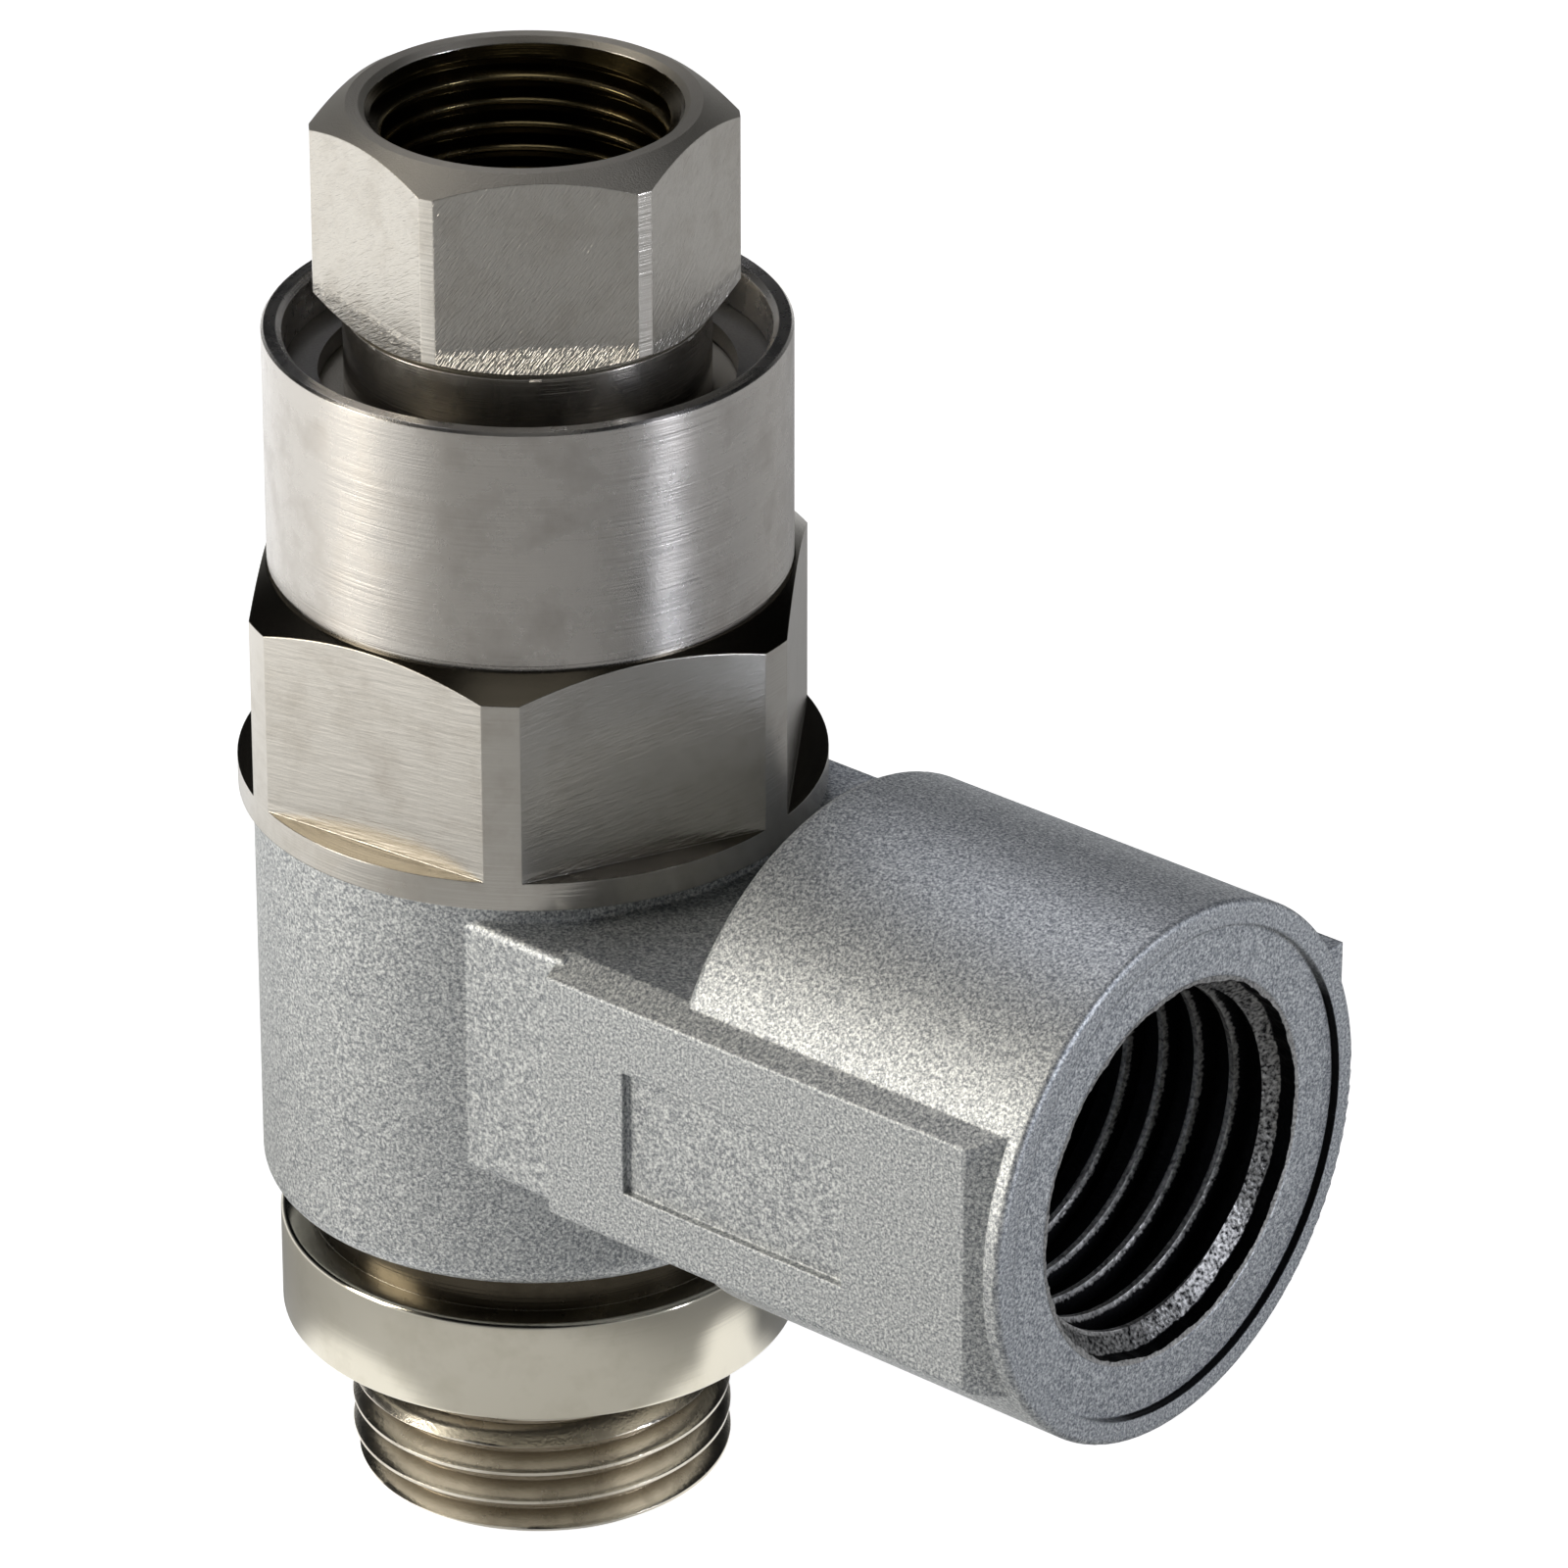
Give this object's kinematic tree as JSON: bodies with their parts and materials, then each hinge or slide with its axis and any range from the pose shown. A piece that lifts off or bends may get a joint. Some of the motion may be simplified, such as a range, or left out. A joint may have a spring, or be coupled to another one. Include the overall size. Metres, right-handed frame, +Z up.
{
  "type": "pilot-operated blocking fitting",
  "caption": "Pilot-operated non-return banjo fitting: male parallel thread below, swivelling side port, hex body and a pilot port in a turned sleeve on top.",
  "frame": {"origin": "centre of the collar's seating face, on the stem's axis", "axes": "+Z up the stem towards the pilot port, +X out along the side port at rest"},
  "size_m": [0.06, 0.0316, 0.0808],
  "materials": {
    "nickel_plate": "bright nickel plate over turned brass",
    "sleeve_nickel": "satin nickel plate with fine turning marks",
    "painted_zinc": "fine metallic grey paint over die-cast zinc",
    "bare_brass": "turned brass",
    "spring_steel": "drawn stainless wire and strip",
    "nitrile": "black nitrile rubber"
  },
  "bodies": {
    "stem": {"hex_body": "nickel_plate", "threaded_stem": "nickel_plate", "port_face_seal": "nitrile", "lower_banjo_seal": "nitrile", "upper_banjo_seal": "nitrile", "stem_seal": "nitrile", "pilot_sleeve": "sleeve_nickel", "sleeve_seal": "nitrile", "connector_circlip": "spring_steel", "piston_spring": "spring_steel", "rod_seal": "nitrile", "gland_washer": "bare_brass", "poppet_spring": "spring_steel", "spring_retainer": "bare_brass", "retainer_clip": "spring_steel"},
    "banjo": {"banjo_body": "painted_zinc"},
    "connector": {"pilot_connector": "nickel_plate", "connector_seal": "nitrile"},
    "piston": {"pilot_piston": "bare_brass", "piston_seal": "nitrile", "piston_rod": "spring_steel", "piston_nut": "spring_steel"},
    "poppet": {"check_poppet": "bare_brass", "poppet_seal": "nitrile"}
  },
  "joints": [
    {"name": "banjo_swivel", "type": "hinge", "parent": "stem", "child": "banjo", "pos_m": [0, 0, 0.0203], "axis": [0, 0, 1], "continuous": true},
    {"name": "connector_swivel", "type": "hinge", "parent": "stem", "child": "connector", "pos_m": [0, 0, 0.0519], "axis": [0, 0, 1], "continuous": true},
    {"name": "pilot_stroke", "type": "slide", "parent": "stem", "child": "piston", "axis": [0, 0, -1], "range_m": [0, 0.003], "stiffness_N_per_m": 1000, "springref_m": -0.004, "deforming": ["piston_spring"]},
    {"name": "poppet_lift", "type": "slide", "parent": "stem", "child": "poppet", "axis": [0, 0, -1], "range_m": [0, 0.003], "stiffness_N_per_m": 200, "springref_m": -0.004, "deforming": ["poppet_spring"]}
  ],
  "couplings": [
    {"joint": "poppet_lift", "follows": "pilot_stroke", "ratio": 1}
  ]
}
